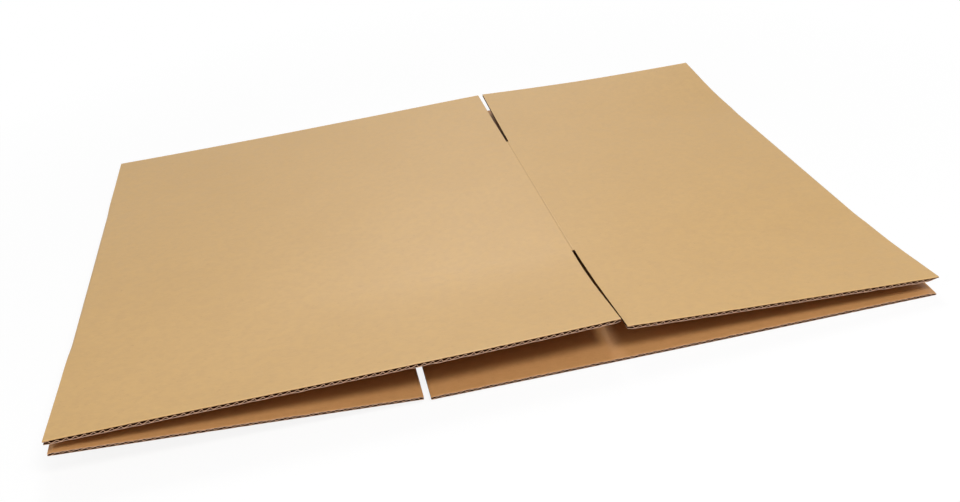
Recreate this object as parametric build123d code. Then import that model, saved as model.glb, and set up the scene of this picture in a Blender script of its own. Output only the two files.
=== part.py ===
from build123d import *
from math import atan2, cos, radians, sin, sqrt
import os

# A plain brown slotted shipping box, knocked down flat and lying on a table.
# One corrugated blank is scored, slotted, folded round into a tube of four panels
# and glued at one seam. Each panel carries a flap at either end. Flattened, the tube
# is two boards thick: a long and a short panel above, a short and a long one below.
# It has sprung open a little, so that its section is a shallow parallelogram.
#
# X runs across the flattened box, from the left fold to the right fold.
# Y runs along the flutes and the slots, from the front cut edges to the back ones.
# Z is up. The origin is on the table, under the middle of the box.

# Size of the box that it makes up into, measured on the outer liner from score to score,
# and its flaps
box_length = 550.0
box_width = 350.0
box_height = 310.0
flap_length = 175.0
slot_width = 7.0

# Corrugated board: two liners with a fluted medium between them
board = 4.0
liner = 0.5
medium = 0.4
flute_pitch = 8.0

# A score is a strip that is rolled down to this thickness. At a flat corner it also
# shows as a narrow groove outside, and a shallow wide one marks where a flap bends
crushed_board = 1.5
flute_clearance = 0.4
score_width = 1.8
score_depth = 0.4
crease_width = 2.4
crease_depth = 0.3

# Air left between the two boards next to a fold
fold_gap = 0.6

# Glue tab: an extra strip of the long bottom panel, inside the short bottom panel
seam_gap = 2.0
tab_width = 35.0
tab_board = 2.0
tab_taper = 12.0

# The short panels climb by this angle, and the tips of each panel's front and back
# flaps stand this far above the panel's own line
spring_angle = 3.4
tip_rise = {
    "bottom_long": (0.0, 0.0),
    "top_short": (9.0, 11.0),
    "top_long": (19.0, 0.0),
    "bottom_short": (8.5, 0.0),
}

# Outer radius of a fold, and the length of outer liner on each side of its middle
fold_radius = board + fold_gap / 2
fold_half = fold_radius * radians(180 - spring_angle) / 2


def section_plane(origin, heading):
    """A plane across the flutes: its x follows the outer liner, its y points into the tube."""
    angle = radians(heading)
    return Plane(origin=origin, x_dir=(cos(angle), 0, sin(angle)), z_dir=(0, -1, 0))


def point_on(plane, along, inward):
    return plane.from_local_coords(Vector(along, inward, 0))


def fold_centre(plane, length):
    return point_on(plane, length - fold_half, fold_radius)


def plane_after_fold(plane, length, heading):
    """The next panel's plane, where the board turns back over itself."""
    turned = section_plane(fold_centre(plane, length), heading)
    return section_plane(point_on(turned, -fold_half, -fold_radius), heading)


def walk_round(seam_x):
    """Each panel's plane and length, in order round the section from the glued seam."""
    bottom_long = section_plane((seam_x, 0, 0), 0)
    top_short = plane_after_fold(bottom_long, box_length, 180 - spring_angle)
    top_long = section_plane(point_on(top_short, box_width, 0), 180)
    bottom_short = plane_after_fold(top_long, box_length, 360 - spring_angle)
    return {
        "bottom_long": (bottom_long, box_length),
        "top_short": (top_short, box_width),
        "top_long": (top_long, box_length),
        "bottom_short": (bottom_short, box_width),
    }


def lay_out_panels():
    """The walk round, moved so that the score on top and the seam lie evenly about X = 0."""
    ridge, _ = walk_round(0)["top_long"]
    return walk_round(-ridge.origin.X / 2)


def flutes(length):
    """Tunnels on both sides of the medium, all across one panel, as triangles."""
    first = fold_half + flute_clearance
    count = round((length - 2 * first) / flute_pitch)
    pitch = (length - 2 * first) / count
    slope = atan2(board - 2 * liner, pitch / 2)
    inset = medium / 2 / sin(slope)
    lower, upper = liner, board - liner
    tip = medium / 2 / cos(slope)
    tunnels = []
    for number in range(count):
        foot = first + number * pitch
        crest = foot + pitch / 2
        tunnels.append([(foot + inset, lower), (foot + pitch - inset, lower), (crest, upper - tip)])
        if number:
            tunnels.append([(crest - pitch + inset, upper), (foot, lower + tip), (crest - inset, upper)])
    return [Wire.make_polygon(tunnel) for tunnel in tunnels]


def board_section(length, start, end):
    """Board between two cut edges, thinned towards the score at either end of its panel."""
    thinning = board - crushed_board
    corners = [
        (start, 0),
        (end, 0),
        (end, crushed_board),
        (length - fold_half, crushed_board),
        (length - fold_half - thinning, board),
        (fold_half + thinning, board),
        (fold_half, crushed_board),
        (start, crushed_board),
    ]
    # two corners coincide where the board stops at its fold, and count once
    return Face(Wire.make_polygon(dict.fromkeys(corners)), flutes(length))


def prism(section, plane, start, along):
    """A section set across the flutes at one place along Y, drawn out along a direction."""
    return Solid.extrude(Pos(0, start, 0) * (plane.location * section), Vector(along))


def flap(section, plane, rise, side):
    """A flap carries on from the end of its panel, a little out of line. Side is -1 in front."""
    reach = sqrt(flap_length ** 2 - rise ** 2)
    return prism(section, plane, side * box_height / 2, (0, side * reach, rise))


def panel_ends(name, length):
    """Where a panel's own board stops: at a fold, at the score on top, or at the glued seam."""
    return {
        "bottom_long": (fold_half, length - fold_half),
        "top_short": (fold_half, length),
        "top_long": (0, length - fold_half),
        "bottom_short": (fold_half, length - seam_gap),
    }[name]


def panel_with_flaps(name, plane, length):
    start, end = panel_ends(name, length)
    body = prism(board_section(length, start, end), plane, -box_height / 2, (0, box_height, 0))
    cut = board_section(length, slot_width / 2, length - slot_width / 2)
    front, back = tip_rise[name]
    return body.fuse(flap(cut, plane, front, -1), flap(cut, plane, back, 1))


def fold(plane, length):
    """The rolled board turning back on itself at the far end of a long panel."""
    middle = (length - fold_half, fold_radius)
    outside = CenterArc(middle, fold_radius, -90, 180 - spring_angle)
    inside = CenterArc(middle, fold_radius - crushed_board, -90, 180 - spring_angle)
    ends = [Line(outside @ 0, inside @ 0), Line(outside @ 1, inside @ 1)]
    ring = make_face([outside, inside] + ends).face()
    return prism(ring, plane, -box_height / 2, (0, box_height, 0))


def glue_tab(long_plane, short_plane):
    """Climbs from the end of the long bottom panel and lies glued inside the short one."""
    edge = box_width - seam_gap
    climb = Wire.make_polygon([
        point_on(long_plane, fold_half, 0),
        point_on(long_plane, fold_half, crushed_board),
        point_on(short_plane, edge, board + tab_board),
        point_on(short_plane, edge, board),
    ])
    step = Solid.extrude(Pos(0, -box_height / 2, 0) * Face(climb), Vector(0, box_height, 0))
    inner_face = Plane(point_on(short_plane, 0, board), short_plane.x_dir, short_plane.y_dir)
    root, tip = box_height / 2, box_height / 2 - tab_taper
    outline = Wire.make_polygon([
        (edge, -root),
        (edge, root),
        (box_width - tab_width, tip),
        (box_width - tab_width, -tip),
    ])
    tab = Solid.extrude(inner_face.location * Face(outline), short_plane.y_dir * tab_board)
    return [step, tab]


def groove(width, depth):
    """A V across the outer face, drawn tall enough to clear a surface that slopes up beside it."""
    return Face(Wire.make_polygon([(-1.5 * width, -2 * depth), (1.5 * width, -2 * depth), (0, depth)]))


def score_on_top(plane):
    return prism(groove(score_width, score_depth), plane, -box_height / 2, (0, box_height, 0))


def flap_crease(plane, length, side):
    """The shallow groove along which a panel's flap bends. It fades out on a fold's curve."""
    across = Plane(plane.origin + Vector(0, side * box_height / 2, 0), x_dir=(0, 1, 0), z_dir=plane.x_dir)
    return Solid.extrude(across.location * groove(crease_width, crease_depth), plane.x_dir * length)


def cardboard_box():
    panels = lay_out_panels()
    strips = [panel_with_flaps(name, plane, length) for name, (plane, length) in panels.items()]
    joins = [fold(*panels["bottom_long"]), fold(*panels["top_long"])]
    joins += glue_tab(panels["bottom_long"][0], panels["bottom_short"][0])
    grooves = [flap_crease(plane, length, side) for plane, length in panels.values() for side in (-1, 1)]
    grooves.append(score_on_top(panels["top_long"][0]))
    return strips[0].fuse(*strips[1:], *joins).cut(*grooves)


os.makedirs("parts", exist_ok=True)
box = cardboard_box()
box.label = "cardboard_box"
export_step(box, "parts/cardboard_box.step")
print("cardboard_box", type(box).__name__, round(box.volume), box.bounding_box())
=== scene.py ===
from math import asin, cos, pi, radians, sin

import bmesh
import bpy
from mathutils import Matrix, Vector, noise


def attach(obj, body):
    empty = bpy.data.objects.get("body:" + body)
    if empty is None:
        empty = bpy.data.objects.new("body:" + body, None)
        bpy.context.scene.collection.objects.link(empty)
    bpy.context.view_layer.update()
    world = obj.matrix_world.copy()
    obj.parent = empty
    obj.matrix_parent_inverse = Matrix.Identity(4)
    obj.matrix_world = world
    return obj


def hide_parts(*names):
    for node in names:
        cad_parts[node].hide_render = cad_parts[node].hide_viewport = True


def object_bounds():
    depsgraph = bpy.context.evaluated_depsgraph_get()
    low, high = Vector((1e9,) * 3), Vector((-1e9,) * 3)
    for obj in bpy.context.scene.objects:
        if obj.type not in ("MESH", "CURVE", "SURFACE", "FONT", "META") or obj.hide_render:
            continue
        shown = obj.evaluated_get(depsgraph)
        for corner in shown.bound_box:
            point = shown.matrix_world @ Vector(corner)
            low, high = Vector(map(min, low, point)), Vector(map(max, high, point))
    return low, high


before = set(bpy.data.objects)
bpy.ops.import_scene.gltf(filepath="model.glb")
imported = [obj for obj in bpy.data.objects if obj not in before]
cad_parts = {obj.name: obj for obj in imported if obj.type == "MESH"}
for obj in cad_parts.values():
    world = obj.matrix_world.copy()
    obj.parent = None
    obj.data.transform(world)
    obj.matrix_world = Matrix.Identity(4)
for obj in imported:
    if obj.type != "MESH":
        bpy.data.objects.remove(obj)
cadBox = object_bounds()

# A knocked down shipping box, dressed for the picture. Its board is built the way it is made: three sheets
# of paper are cut as one flat blank, slotted and scored, and then folded round and flattened.
# The blank and all settings of the box are in millimetres, and folding it up brings it to metres.
# On the flat blank, x runs along the outer liner from the glued seam, y runs along the flutes,
# and z is the depth below the outer face.
toMetres = 0.001

boxShape = {
    "length": 550.0,       # long panels, from score to score
    "width": 350.0,        # short panels
    "height": 310.0,       # from flap crease to flap crease
    "flap": 175.0,
    "flapBend": 110.0,     # a flap curves up over this length from its crease
    "flapEase": 45.0,      # and leaves the curve of the fold beside it over this one
    "taperReach": 60.0,    # where a flap grows narrower, that is felt this far from its side
    "slots": {"seam": 7.0, "rightFold": 5.2, "score": 3.4, "leftFold": 5.2},     # their widths at the crease
    "springAngle": 3.4,    # the short panels climb by this many degrees
    "foldGap": 0.6,        # air between the boards beside a fold
    "seamGap": 2.0,
    "tab": 35.0,
    "tabTaper": 12.0,      # the tab's ends slant by this much
}

boardShape = {
    "thickness": 4.0,
    "liner": 0.5,
    "medium": 0.55,
    "flutePitch": 8.0,
    "fluteLean": 0.9,      # the flutes lean over a little, all the same way
    "leanStart": 2.5,      # but not this near to a corner
    "fluteRidge": 0.55,    # below 1 they are narrow at the outer liner and broad at the inner one
    "fluteMargin": 0.4,    # the first flute starts this far from where a fold's curve ends
    "crushed": 1.5,        # thickness where a score rolled it down
    "crushStart": -1.0,    # counted from the end of a fold's curve, it grows thicker again from here
    "crushEase": 5.0,      # and over this length
    "flapCrushEase": 12.0,      # in the flaps their own thinning takes over, this far past the crease
    "tabThickness": 2.0,
    "washboard": 0.05,     # the liners dip between the flutes
    "creaseDepth": 0.05,
    "creaseWidth": 1.6,
    "scoreDepth": 0.4,
    "scoreWidth": 0.9,
}

# the cut edges at the tips of the flaps, and how far in from the tip each of these is felt
cutEdgeShape = {
    "rounding": 0.2, "roundingReach": 1.6,       # the outer liner turns over
    "fray": 0.5, "frayReach": 2.0, "frayScale": 0.45,
    "unevenness": 0.16, "unevennessReach": 9.0, "unevennessScale": 0.09,      # share of the thickness
    # painted highlight: how far in from the tip the paper is painted lighter
    "tipHighlightReach": 2.6,
}

# how far a flap's tip stands above its panel, where the panel starts and where it ends, and how far
# the middle of the tip sags below the line between the two
flapPose = {
    "bottomLong": {"front": (2.1, 0.0, 0.6), "back": (0.0, 0.0, 0.0)},
    "topShort": {"front": (13.6, 12.6, 0.3), "back": (20.4, 3.0, 2.7)},
    "topLong": {"front": (19.1, 4.0, -3.6), "back": (2.8, 4.2, 4.7)},
    "bottomShort": {"front": (-5.2, 4.2, -0.2), "back": (0.0, 0.0, 0.0)},
}

# the front flap of the long top panel is cut a little short beside the slot, up to this share of its width
shortCut = {"depth": 4.5, "reach": 0.6}

# the flaps beside a corner grow narrower by this much towards their tips
flapTaper = {
    "score": {"front": 0.8, "back": 1.7},
    "rightFold": {"front": 6.4, "back": 11.0},
    "leftFold": {"front": 0.0, "back": 2.8},
}

# share of its thickness that the board has at the tips of the flaps, and the length over which that changes
tipThickness = {
    "bottomLong": {"front": (0.9, 8.0), "back": (0.94, 3.0)},
    "topShort": {"front": (1.10, 12.0), "back": (0.94, 3.0)},
    "topLong": {"front": (1.15, 12.0), "back": (0.94, 3.0)},
    "bottomShort": {"front": (0.9, 8.0), "back": (0.94, 3.0)},
}

# the left half is warped too: its front is higher than its back
leftWarp = {
    "slope": 1.26e-4,      # climb for each millimetre to the left and to the front
    "seam": -100.4,        # where it begins in the lower layer, which lies on the table up to here
    "ease": 400.0,         # it comes on gently over this width in the upper layer
}

# the board is never quite flat, except where it lies on the table
swell = {"height": 0.4, "scale": 0.006, "clearFrom": 6.0, "clearOver": 20.0}

# next to a corner the flaps are thinned too: to this thickness, which grows full between two distances
flapCrush = {
    "bottomLong": {"seam": (3.0, 2.5, 7.0), "rightFold": (2.0, 2.5, 14.0)},
    "topShort": {"rightFold": (1.2, 2.5, 18.0), "score": (3.0, 2.5, 8.0)},
    "topLong": {"score": (3.0, 2.5, 8.0), "leftFold": (3.8, 2.5, 7.0)},
    "bottomShort": {"leftFold": (2.6, 2.5, 8.0), "seam": (3.0, 2.5, 7.0)},
}

foldRadius = boardShape["thickness"] + boxShape["foldGap"] / 2
foldHalf = foldRadius * radians(180 - boxShape["springAngle"]) / 2
halfHeight = boxShape["height"] / 2
flapTip = halfHeight + boxShape["flap"]


def smoothStep(value):
    value = min(max(value, 0.0), 1.0)
    return value * value * (3 - 2 * value)


def mixed(first, second, share):
    return first + (second - first) * share


# the four panels, round the section from the glued seam

def pointOn(panel, along, inward):
    direction = panel["heading"]
    x, z = panel["origin"]
    return Vector((x + along * cos(direction) - inward * sin(direction),
                   z + along * sin(direction) + inward * cos(direction)))


def foldCentre(panel):
    return pointOn(panel, panel["length"] - foldHalf, foldRadius)


def panelAt(origin, heading, name, start, length, corners):
    return {"name": name, "origin": origin, "heading": radians(heading), "start": start,
            "length": length, "corners": corners}


def panelAfterFold(previous, heading, name, length, corners):
    start = previous["start"] + previous["length"]
    turned = panelAt(foldCentre(previous), heading, name, start, length, corners)
    turned["origin"] = pointOn(turned, -foldHalf, -foldRadius)
    return turned


def walkRound(seamX):
    long, short, spring = boxShape["length"], boxShape["width"], boxShape["springAngle"]
    bottomLong = panelAt((seamX, 0.0), 0, "bottomLong", 0.0, long, ("seam", "rightFold"))
    topShort = panelAfterFold(bottomLong, 180 - spring, "topShort", short, ("rightFold", "score"))
    topLong = panelAt(pointOn(topShort, short, 0), 180, "topLong", long + short, long, ("score", "leftFold"))
    bottomShort = panelAfterFold(topLong, 360 - spring, "bottomShort", short, ("leftFold", "seam"))
    return [bottomLong, topShort, topLong, bottomShort]


# the seam and the score on top lie evenly about the middle
ridge = walkRound(0.0)[2]["origin"]
panels = walkRound(-ridge.x / 2)
bottomLong, topShort, topLong, bottomShort = panels
blankEnd = 2 * (boxShape["length"] + boxShape["width"]) - boxShape["seamGap"]

# the glue tab climbs from the long lower panel onto the inside of the short one
climbFoot = pointOn(bottomLong, foldHalf, 0)
climbTop = pointOn(bottomShort, boxShape["width"] - boxShape["seamGap"], boardShape["thickness"])
climb = (climbTop - climbFoot).length
tabRoot = foldHalf - climb
tabEnd = tabRoot - (boxShape["tab"] - boxShape["seamGap"])


def onTab(along, inward):
    onLong = pointOn(bottomLong, along, inward)
    shortAlong = boxShape["width"] - boxShape["seamGap"] + along - tabRoot
    onShort = pointOn(bottomShort, shortAlong, boardShape["thickness"] + inward)
    return onLong.lerp(onShort, smoothStep((foldHalf - along) / climb))


def onFold(centre, turn, inward):
    return centre + (foldRadius - inward) * Vector((sin(turn), -cos(turn)))


def onSection(panel, along, inward):
    # x and z of a point of the board, on the section that the folds and the seam give it
    starts, ends = panel["corners"]
    length = panel["length"]
    if "Fold" in ends and along > length - foldHalf:
        turn = panel["heading"] + (along - length + foldHalf) / foldRadius
        return onFold(foldCentre(panel), turn, inward)
    if "Fold" in starts and along < foldHalf:
        turn = panel["heading"] - (foldHalf - along) / foldRadius
        return onFold(pointOn(panel, foldHalf, foldRadius), turn, inward)
    if starts == "seam" and along < foldHalf:
        return onTab(along, inward)
    return pointOn(panel, along, inward)


def findPanel(alongBlank):
    for panel in panels:
        if alongBlank <= panel["start"] + panel["length"]:
            return panel
    return panels[-1]


def boardThickness(panel, along, pastCrease):
    full = boardShape["thickness"]
    thickness = full
    for corner, fromCorner in zip(panel["corners"], (along, panel["length"] - along)):
        uncrushed = smoothStep((fromCorner - foldHalf - boardShape["crushStart"]) / boardShape["crushEase"])
        inPanel = mixed(boardShape["crushed"], full, uncrushed)
        if corner == "seam" and panel is bottomLong:
            inPanel = max(inPanel, boardShape["tabThickness"])
        thin, begins, stops = flapCrush[panel["name"]][corner]
        inFlap = mixed(thin, full, smoothStep((fromCorner - begins) / (stops - begins)))
        inFlaps = smoothStep(pastCrease / boardShape["flapCrushEase"])
        thickness = min(thickness, mixed(inPanel, inFlap, inFlaps))
    return thickness


def dent(distance, width, depth):
    return depth * (1 - smoothStep(abs(distance) / width))


def warp(panel, x, y):
    ease = leftWarp["ease"] if panel in (topShort, topLong) else 0.0
    leftward = leftWarp["seam"] + ease / 2 - x
    if leftward <= 0:
        return 0.0
    reach = leftward - ease / 2 if leftward > ease else leftward * leftward / (2 * ease)
    return -leftWarp["slope"] * reach * y


def flapLift(panel, along, pastCrease, side):
    # how far out from its crease a point of a bent flap lies, and how far above the line of its panel
    start, end, sag = flapPose[panel["name"]]["front" if side < 0 else "back"]
    share = min(max(along / panel["length"], 0), 1)
    bendLength = boxShape["flapBend"]
    tilt = asin(mixed(start, end, share) / (boxShape["flap"] - bendLength / 2))
    bent = min(pastCrease, bendLength)
    outward = pastCrease - (1 - cos(tilt)) * (pastCrease - bent + bent ** 3 / (3 * bendLength ** 2))
    climbed = sin(tilt) * (pastCrease - bent + bent * bent / (2 * bendLength))
    droop = sag * sin(pi * share) * (pastCrease / boxShape["flap"]) ** 2
    if panel is topLong and side < 0 and share < shortCut["reach"]:
        outward -= shortCut["depth"] * (1 - share / shortCut["reach"]) ** 2 * pastCrease / boxShape["flap"]
    return outward, climbed - droop


def narrowing(panel, along, pastCrease, side):
    # how far a point of a flap is shifted along the blank, away from the corner beside it
    shift = 0.0
    for corner, fromCorner, away in zip(panel["corners"], (along, panel["length"] - along), (1, -1)):
        if corner in flapTaper:
            taper = flapTaper[corner]["front" if side < 0 else "back"]
            fades = smoothStep(fromCorner / boxShape["taperReach"])
            shift += away * taper * pastCrease / boxShape["flap"] * (1 - fades)
    return shift


def nearTip(toTip, reach):
    # 1 at the cut edge of a flap, falling to 0 this far in
    return 1 - smoothStep(toTip / reach)


def squashAt(panel, alongBlank, side, pastCrease, toTip):
    # share of its thickness that the board keeps
    squash = boardThickness(panel, alongBlank - panel["start"], pastCrease) / boardShape["thickness"]
    atTip, tipLength = tipThickness[panel["name"]]["front" if side < 0 else "back"]
    squash *= mixed(atTip, 1, smoothStep(toTip / tipLength))
    wobble = noise.noise(Vector((alongBlank * cutEdgeShape["unevennessScale"], side * 3.0, 5.0)))
    wobble *= nearTip(toTip, cutEdgeShape["unevennessReach"])
    return squash * (1 + cutEdgeShape["unevenness"] * wobble)


def foldUp(flat, sheetSeed):
    # takes a point of the flat blank to its place in the flattened box
    panel = findPanel(flat.x)
    along = flat.x - panel["start"]
    side = -1 if flat.y < 0 else 1
    pastCrease = abs(flat.y) - halfHeight
    toTip = boxShape["flap"] - pastCrease
    squash = squashAt(panel, flat.x, side, pastCrease, toTip)
    inward = flat.z * squash
    inward += dent(pastCrease, boardShape["creaseWidth"], boardShape["creaseDepth"]) * squash
    outerness = max(1 - flat.z / boardShape["thickness"], 0)
    inward += cutEdgeShape["rounding"] * nearTip(toTip, cutEdgeShape["roundingReach"]) * outerness
    toScore = flat.x - topLong["start"]
    if abs(toScore) < boardShape["scoreWidth"]:
        inward += dent(toScore, boardShape["scoreWidth"], boardShape["scoreDepth"])
    place = onSection(panel, along, inward)
    y = flat.y
    if pastCrease > 0:
        along += narrowing(panel, along, pastCrease, side)
        place = place.lerp(pointOn(panel, along, inward), smoothStep(pastCrease / boxShape["flapEase"]))
        outward, lift = flapLift(panel, along, pastCrease, side)
        fray = abs(noise.noise(Vector((flat.x * cutEdgeShape["frayScale"], side * 7.0, sheetSeed))))
        fray *= cutEdgeShape["fray"] * nearTip(toTip, cutEdgeShape["frayReach"])
        y = side * (halfHeight + outward - fray)
        place.y += lift
    place.y += warp(panel, place.x, y)
    clearOfTable = smoothStep((place.y - swell["clearFrom"]) / swell["clearOver"])
    rise = noise.noise(Vector((place.x * swell["scale"], y * swell["scale"], 3.0)))
    place.y += swell["height"] * clearOfTable * rise
    return Vector((place.x, y, place.y)) * toMetres


# the flat sheets

sheetShape = {
    "linerStep": boardShape["flutePitch"] / 3,       # between lines that run along the flutes
    "mediumStep": boardShape["flutePitch"] / 8,
    "tabStep": 4.0,
    "climbStep": 0.8,
    # lines across the flutes: how far from the middle, before and past a flap's crease, and before its tip
    "linerRows": {
        "middle": [0.0, 25.0, 60.0, 95.0],
        "beforeCrease": [30.0, 15.0, 7.0, 3.5, 1.6, 0.8],
        "pastCrease": [0.0, 0.8, 1.6, 3.5, 7.0, 12.0, 18.0, 30.0, 50.0, 80.0, 110.0, 140.0],
        "beforeTip": [15.0, 6.0, 2.5, 0.8, 0.0],
    },
    "mediumRows": {
        "middle": [0.0, 60.0],
        "beforeCrease": [30.0],
        "pastCrease": [0.0, 3.5, 12.0, 30.0, 50.0, 80.0, 110.0, 140.0],
        "beforeTip": [2.5, 0.0],
    },
    "longestCutFace": 4.0,      # longer faces, beside the slots and at the seam, keep the sheet's own colour
    "sharpFrom": radians(50),
}


def evenly(start, end, step):
    count = max(round((end - start) / step), 1)
    return [mixed(start, end, number / count) for number in range(count)]


def columnsAcross(step):
    # lines across the blank, close together at the corners and even over the flutes
    nearCorner = [0.0, 0.45, 0.9, 1.7, 2.6, 3.5, 4.3, 5.1, 5.9, foldHalf, 7.6, 8.8, 10.2, 12.0, 14.0, 16.5]
    columns = evenly(tabEnd, tabRoot, sheetShape["tabStep"]) + evenly(tabRoot, 0.0, sheetShape["climbStep"])
    for panel in panels:
        start, end = panel["start"], panel["start"] + panel["length"]
        columns += [start + offset for offset in nearCorner[:-1]]
        columns += evenly(start + nearCorner[-1], end - nearCorner[-1], step)
        columns += [end - offset for offset in reversed(nearCorner[1:])]
    return [column for column in columns if column < blankEnd] + [blankEnd]


def rowsAlong(rows):
    # lines across the flutes, from one cut edge to the other
    fromMiddle = list(rows["middle"])
    fromMiddle += [halfHeight - offset for offset in rows["beforeCrease"]]
    fromMiddle += [halfHeight + offset for offset in rows["pastCrease"]]
    fromMiddle += [flapTip - offset for offset in rows["beforeTip"]]
    return [-row for row in reversed(fromMiddle)] + fromMiddle[1:]


# middle and width of each slot
slots = [(panel["start"], boxShape["slots"][panel["corners"][0]]) for panel in panels]
slots.append((2 * (boxShape["length"] + boxShape["width"]), boxShape["slots"]["seam"]))


def isCutAway(centre):
    # slots between the flaps, and everything beside the tab
    if abs(centre.y) < halfHeight:
        return False
    return centre.x < slots[0][1] / 2 or any(abs(centre.x - middle) < width / 2 for middle, width in slots)


def flatSheet(columns, rows):
    sheet = bmesh.new()
    bmesh.ops.create_grid(sheet, x_segments=len(columns) - 1, y_segments=len(rows) - 1, size=0.5)
    for vert in sheet.verts:
        column = columns[round((vert.co.x + 0.5) * (len(columns) - 1))]
        row = rows[round((vert.co.y + 0.5) * (len(rows) - 1))]
        if column < tabRoot:
            share = (tabRoot - column) / (tabRoot - tabEnd)
            row *= 1 - share * boxShape["tabTaper"] / halfHeight
        vert.co = (column, row, 0)
    cutAway = [face for face in sheet.faces if isCutAway(face.calc_center_median())]
    bmesh.ops.delete(sheet, geom=cutAway, context="FACES")
    return sheet


def fluteDepth(alongBlank):
    # 0 where the medium meets the outer liner, 1 where it meets the inner one
    panel = findPanel(alongBlank)
    first = foldHalf + boardShape["fluteMargin"]
    run = panel["length"] - 2 * first
    count = round(run / boardShape["flutePitch"])
    along = min(max(alongBlank - panel["start"] - first, 0.0), run)
    return (1 - cos(2 * pi * along / (run / count))) / 2


def finishSheet(sheet, name, thickness, inwards, sheetSeed, material):
    # gives a shaped sheet its thickness, marks its cut edges, its side towards the flutes and the score line
    # for painted shade and the flap tips for a painted highlight, and folds it up
    flatMap = sheet.loops.layers.uv.new("blank")
    cutEdge = sheet.faces.layers.float.new("cutEdge")
    hidden = sheet.faces.layers.float.new("insideBoard")
    # painted shade along the score line
    scoreShade = sheet.verts.layers.float.new("scoreShade")
    # painted highlight: lighter paper near the tips of the flaps
    tipHighlight = sheet.verts.layers.float.new("tipHighlight")
    sheet.normal_update()
    bmesh.ops.solidify(sheet, geom=sheet.faces[:], thickness=-thickness)
    sheet.normal_update()
    for face in sheet.faces:
        face.smooth = True
        stands = abs(face.normal.z) < 0.2
        face[cutEdge] = 1.0 if stands and face.calc_area() < sheetShape["longestCutFace"] * thickness else 0.0
        face[hidden] = 1.0 if face.normal.z * inwards < -0.5 else 0.0
        for loop in face.loops:
            loop[flatMap].uv = loop.vert.co.xy * toMetres
    for vert in sheet.verts:
        # painted shade along the score line on the panels, and a painted highlight near the flap tips
        if abs(vert.co.y) <= halfHeight:
            vert[scoreShade] = max(1 - abs(vert.co.x - topLong["start"]) / boardShape["scoreWidth"], 0.0)
        vert[tipHighlight] = nearTip(flapTip - abs(vert.co.y), cutEdgeShape["tipHighlightReach"])
        vert.co = foldUp(vert.co, sheetSeed)
    bmesh.ops.recalc_face_normals(sheet, faces=sheet.faces)
    mesh = bpy.data.meshes.new(name)
    sheet.to_mesh(mesh)
    sheet.free()
    mesh.set_sharp_from_angle(angle=sheetShape["sharpFrom"])
    mesh.materials.append(material)
    piece = bpy.data.objects.new(name, mesh)
    bpy.context.scene.collection.objects.link(piece)
    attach(piece, "root")
    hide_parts("cardboard_box")
    print(name, "has", len(mesh.polygons), "faces")


def liner(name, depth, sheetSeed, material):
    sheet = flatSheet(columnsAcross(sheetShape["linerStep"]), rowsAlong(sheetShape["linerRows"]))
    isInner = depth > boardShape["thickness"] / 2
    for vert in sheet.verts:
        between = 1 - fluteDepth(vert.co.x) if isInner else fluteDepth(vert.co.x)      # 0 on its flutes
        dip = boardShape["washboard"] * between
        vert.co.z = depth - dip if isInner else depth + dip
    finishSheet(sheet, name, boardShape["liner"], -1 if isInner else 1, sheetSeed, material)


def flutedMedium(name, material):
    sheet = flatSheet(columnsAcross(sheetShape["mediumStep"]), rowsAlong(sheetShape["mediumRows"]))
    swing = boardShape["thickness"] - 2 * boardShape["liner"] - boardShape["medium"]
    for vert in sheet.verts:
        wave = fluteDepth(vert.co.x) ** boardShape["fluteRidge"]
        vert.co.z = boardShape["liner"] + swing * wave
        fromCorner = min(abs(vert.co.x - corner) for corner, _ in slots)
        free = smoothStep((fromCorner - boardShape["leanStart"]) / boardShape["flutePitch"])
        vert.co.x += boardShape["fluteLean"] * (2 * wave - 1) * free
    finishSheet(sheet, name, boardShape["medium"], 0, 2.0, material)


# papers

def node(tree, kind, settings=None, **inputs):
    made = tree.nodes.new(kind)
    for key, value in (settings or {}).items():
        setattr(made, key, value)
    for key, value in inputs.items():
        socket = made.inputs[int(key[1:])] if key[0] == "n" and key[1:].isdigit() else made.inputs[key]
        if isinstance(value, bpy.types.NodeSocket):
            tree.links.new(value, socket)
        else:
            socket.default_value = value
    return made


def paintOver(tree, share, under, over):
    return node(tree, "ShaderNodeMix", {"data_type": "RGBA"}, n0=share, n6=under, n7=over).outputs[2]


def spread(tree, value, low, high, first, last):
    # carries the values from low to high over to first to last
    carried = node(tree, "ShaderNodeMapRange", {"clamp": True}, n0=value, n1=low, n2=high, n3=first, n4=last)
    return carried.outputs[0]


def maths(tree, operation, first, second):
    return node(tree, "ShaderNodeMath", {"operation": operation}, n0=first, n1=second).outputs[0]


def grain(tree, place, stretch, scale, detail):
    moved = node(tree, "ShaderNodeMapping", None, Vector=place, Scale=stretch)
    cloud = node(tree, "ShaderNodeTexNoise", None, Vector=moved.outputs[0], Scale=scale, Detail=detail)
    return cloud.outputs[0]


def mark(tree, name, strength):
    told = node(tree, "ShaderNodeAttribute", {"attribute_name": name}).outputs["Fac"]
    return maths(tree, "MULTIPLY", told, strength)


# the patterns in the paper: how each is stretched, its scale and its detail
grains = {
    "blotches": ((1, 1, 1), 14.0, 3.0),
    "clouds": ((1, 1, 1), 110.0, 4.0),
    "fibres": ((0.16, 1, 1), 900.0, 3.0),      # they lie across the flutes
    "flecks": ((0.5, 1, 1), 520.0, 2.0),
    "tufts": ((1, 1, 1), 1500.0, 2.0),
}


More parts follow.
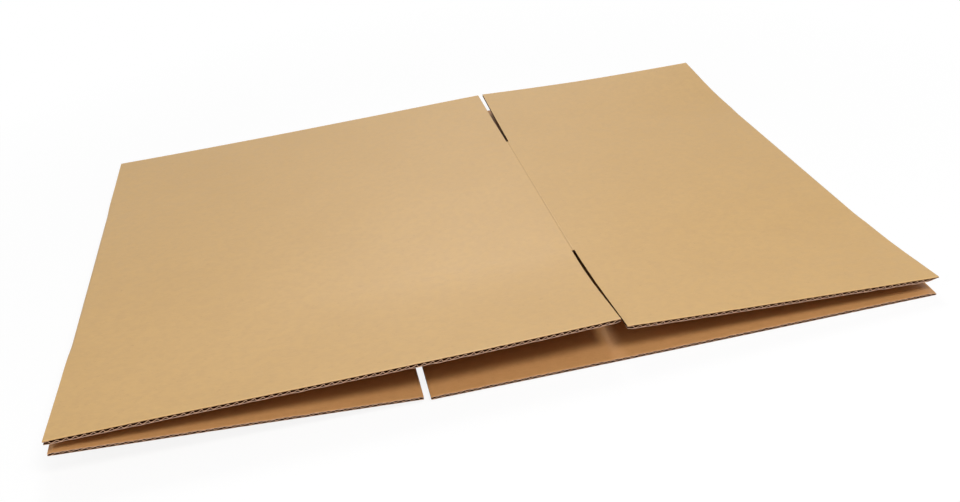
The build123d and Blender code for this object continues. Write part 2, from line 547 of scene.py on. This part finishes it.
def paper(paperName, look):
    material = bpy.data.materials.new(paperName)
    material.use_nodes = True
    tree = material.node_tree
    shader = tree.nodes["Principled BSDF"]
    place = node(tree, "ShaderNodeTexCoord").outputs["Object"]
    made = {pattern: grain(tree, place, *settings) for pattern, settings in grains.items()}
    colour = look["colour"]
    layers = (
        ("blotches", 0.35, 0.65, look["blotching"], look["dark"]),
        ("clouds", 0.35, 0.65, look["clouding"], look["dark"]),
        ("fibres", 0.45, 0.75, look["fibring"], look["light"]),
        ("flecks", 0.66, 0.74, look["flecking"], look["fleck"]),
    )
    # a pattern's paint begins at the first value of its noise and is strongest from the second one on
    for pattern, low, high, strength, paint in layers:
        colour = paintOver(tree, spread(tree, made[pattern], low, high, 0.0, strength), colour, paint)
    tufts = spread(tree, made["tufts"], 0.4, 0.6, 0.0, look["tufting"])
    torn = paintOver(tree, tufts, look["cut"], look["cutDark"])
    # painted shade along the score line, a painted highlight at the flap tips, the cut edges' own colours,
    # and painted shade on the sides that face the flutes
    places = (
        ("scoreShade", look["scoreShading"], look["fleck"]),
        ("tipHighlight", look["tipHighlighting"], look["tipHighlightColour"]),
        ("cutEdge", 1.0, torn),
        ("insideBoard", 1.0, look["inside"]),
    )
    for name, strength, paint in places:
        colour = paintOver(tree, mark(tree, name, strength), colour, paint)
    tree.links.new(colour, shader.inputs["Base Color"])
    roughest, smoothest = look["roughness"] + look["unevenSheen"], look["roughness"] - look["unevenSheen"]
    rough = spread(tree, made["clouds"], 0.3, 0.7, roughest, smoothest)
    for name in ("cutEdge", "insideBoard"):      # raw paper has no sheen
        rough = maths(tree, "MAXIMUM", rough, mark(tree, name, 1.0))
    tree.links.new(rough, shader.inputs["Roughness"])
    shader.inputs["Specular IOR Level"].default_value = look["gloss"]
    bump = node(tree, "ShaderNodeBump", None, Strength=look["bump"], Distance=look["bumpHeight"],
                Height=made["fibres"])
    tree.links.new(bump.outputs[0], shader.inputs["Normal"])
    return material


def shade(colour, red, green, blue):
    return colour[0] * red, colour[1] * green, colour[2] * blue, 1


def paperLook(colour, cut, cutDark, inside, gloss):
    return {
        "colour": (*colour, 1),
        "dark": shade(colour, 0.90, 0.88, 0.84),
        "light": shade(colour, 1.06, 1.07, 1.10),
        # the fleck tone also serves as the painted shade along the score line
        "fleck": shade(colour, 0.62, 0.56, 0.50),
        # painted highlight: a lighter paper tone for the flap tips
        "tipHighlightColour": shade(colour, 1.22, 1.24, 1.30),
        "cut": (*cut, 1),
        "cutDark": (*cutDark, 1),
        "inside": (*inside, 1),       # painted shade on the side that faces the flutes
        "blotching": 0.35, "clouding": 0.62, "fibring": 0.5, "flecking": 0.3, "tufting": 0.6,
        # strengths of the painted shade along the score line and of the painted highlight at the flap tips
        "scoreShading": 0.45, "tipHighlighting": 0.8,
        "roughness": 0.45, "unevenSheen": 0.05, "gloss": gloss, "bump": 0.1, "bumpHeight": 0.0003,
    }


deepFluteShade = (0.035, 0.009, 0.003)      # painted shade: paper coloured as dark as it looks in the depth of a flute
# the outer liner's side towards the flutes is painted shade
outerPaper = paper("outerPaper", paperLook(
    (0.572, 0.351, 0.126), cut=(0.62, 0.34, 0.15), cutDark=(0.40, 0.20, 0.08), inside=deepFluteShade, gloss=0.52))
# the inner liner's cut edge has a pinkish tone of its own, made lighter as a painted highlight; its side
# towards the flutes is painted shade
innerPaper = paper("innerPaper", paperLook(
    (0.575, 0.300, 0.115), cut=(0.86, 0.58, 0.43), cutDark=(0.60, 0.36, 0.24), inside=(0.10, 0.04, 0.015),
    gloss=0.2))
# painted shade: the whole fluted medium is coloured as dark as it looks deep in the flutes, and only its cut
# edges are paper-coloured
mediumPaper = paper("mediumPaper", paperLook(
    deepFluteShade, cut=(0.92, 0.56, 0.36), cutDark=(0.58, 0.30, 0.17), inside=deepFluteShade, gloss=0.0))
print("papers ready")

liner("outer_liner", 0.0, 1.0, outerPaper)
liner("inner_liner", boardShape["thickness"] - boardShape["liner"], 3.0, innerPaper)
flutedMedium("fluted_medium", mediumPaper)


# studio

studio = {
    "ambient": 0.24,
    "aim": (0.0, -0.1, 0.03),
    "floorSize": 8.0,      # half its width
    "floorDrop": 0.0003,   # it lies this far below the box
    "floorColour": (0.55, 0.55, 0.55, 1),     # as the object sees it
    "shadowShare": 0.12,   # how much of its shading the camera sees of the floor around the object
    "shadowReach": (0.55, 0.95),      # over these distances from the middle it fades out
}

# each light: which way it comes from, its height above the table in degrees, and its distance
lamps = {
    "keyLight": {"fromRight": 24.5, "height": 53.0, "distance": 2.2, "size": 0.66, "share": 0.42},
    "fillLight": {"fromRight": -50.0, "height": 35.0, "distance": 1.8, "size": 0.8, "share": 0.09},
    "backLight": {"fromRight": 171.0, "height": 50.0, "distance": 3.5, "size": 1.3, "share": 0.28},
}


def seenDirectly(tree):
    # 1 for what the camera sees, straight, in a reflection or through glass
    path = node(tree, "ShaderNodeLightPath").outputs
    seen = maths(tree, "MAXIMUM", path["Is Camera Ray"], path["Is Glossy Ray"])
    return maths(tree, "MAXIMUM", seen, path["Is Transmission Ray"])


def makeWorld():
    world = bpy.data.worlds.new("studioWorld")
    bpy.context.scene.world = world
    world.use_nodes = True
    tree = world.node_tree
    tree.nodes.clear()
    lit = node(tree, "ShaderNodeBackground", None, Color=(1, 1, 1, 1), Strength=studio["ambient"]).outputs[0]
    white = node(tree, "ShaderNodeBackground", None, Color=(1, 1, 1, 1), Strength=1.0).outputs[0]
    chosen = node(tree, "ShaderNodeMixShader", None, n0=seenDirectly(tree), n1=lit, n2=white)
    node(tree, "ShaderNodeOutputWorld", None, Surface=chosen.outputs[0])


def makeFloor():
    material = bpy.data.materials.new("paleFloor")
    material.use_nodes = True
    tree = material.node_tree
    tree.nodes.clear()
    seen = seenDirectly(tree)
    place = node(tree, "ShaderNodeTexCoord").outputs["Object"]
    away = node(tree, "ShaderNodeVectorMath", {"operation": "LENGTH"}, n0=place).outputs["Value"]
    near, far = studio["shadowReach"]
    share = spread(tree, away, near, far, 1 - studio["shadowShare"], 1.0)
    share = maths(tree, "MULTIPLY", seen, share)
    tone = paintOver(tree, seen, studio["floorColour"], (1, 1, 1, 1))
    matt = node(tree, "ShaderNodeBsdfDiffuse", None, Color=tone).outputs[0]
    white = node(tree, "ShaderNodeEmission", None, Color=(1, 1, 1, 1), Strength=1.0).outputs[0]
    chosen = node(tree, "ShaderNodeMixShader", None, n0=share, n1=matt, n2=white)
    node(tree, "ShaderNodeOutputMaterial", None, Surface=chosen.outputs[0])
    grid = bmesh.new()
    bmesh.ops.create_grid(grid, x_segments=1, y_segments=1, size=studio["floorSize"])
    bmesh.ops.translate(grid, verts=grid.verts, vec=(0, 0, cadBox[0][2] - studio["floorDrop"]))
    mesh = bpy.data.meshes.new("floor")
    grid.to_mesh(mesh)
    grid.free()
    mesh.materials.append(material)
    floor = bpy.data.objects.new("floor", mesh)
    bpy.context.scene.collection.objects.link(floor)


def makeLamp(name, wanted):
    # its share is the brightness it alone would give a white sheet lying on the table
    turn, height, distance = radians(wanted["fromRight"]), radians(wanted["height"]), wanted["distance"]
    lamp = bpy.data.lights.new(name, "AREA")
    lamp.shape = "DISK"
    lamp.size = wanted["size"]
    lamp.energy = wanted["share"] * (pi * distance) ** 2 / sin(height)
    light = bpy.data.objects.new(name, lamp)
    towards = Vector((cos(height) * sin(turn), -cos(height) * cos(turn), sin(height)))
    facing = towards.to_track_quat("Z", "Y").to_matrix().to_4x4()
    light.matrix_world = Matrix.Translation(Vector(studio["aim"]) + distance * towards) @ facing
    bpy.context.scene.collection.objects.link(light)


camera = {
    "place": (-0.15852, -1.07617, 0.61325),
    "turn": 9.426,         # degrees to the right of straight ahead
    "dip": 31.068,         # degrees below level
    "roll": -5.918,
    "focal": 988.2,        # in pixels of the picture
    "pictureWidth": 960,
}


def makeCamera():
    data = bpy.data.cameras.new("camera")
    data.sensor_fit = "HORIZONTAL"
    data.sensor_width = 36.0
    data.lens = data.sensor_width * camera["focal"] / camera["pictureWidth"]
    data.clip_start = 0.01
    seen = bpy.data.objects.new("camera", data)
    turn = Matrix.Rotation(-radians(camera["turn"]), 4, "Z")
    dip = Matrix.Rotation(radians(90 - camera["dip"]), 4, "X")
    roll = Matrix.Rotation(radians(camera["roll"]), 4, "Z")
    seen.matrix_world = Matrix.Translation(camera["place"]) @ (turn @ dip) @ roll
    bpy.context.scene.collection.objects.link(seen)
    bpy.context.scene.camera = seen


makeWorld()
makeFloor()
for lampName, lampSettings in lamps.items():
    makeLamp(lampName, lampSettings)
makeCamera()
bpy.context.scene.view_settings.view_transform = "Standard"
print("studio ready")
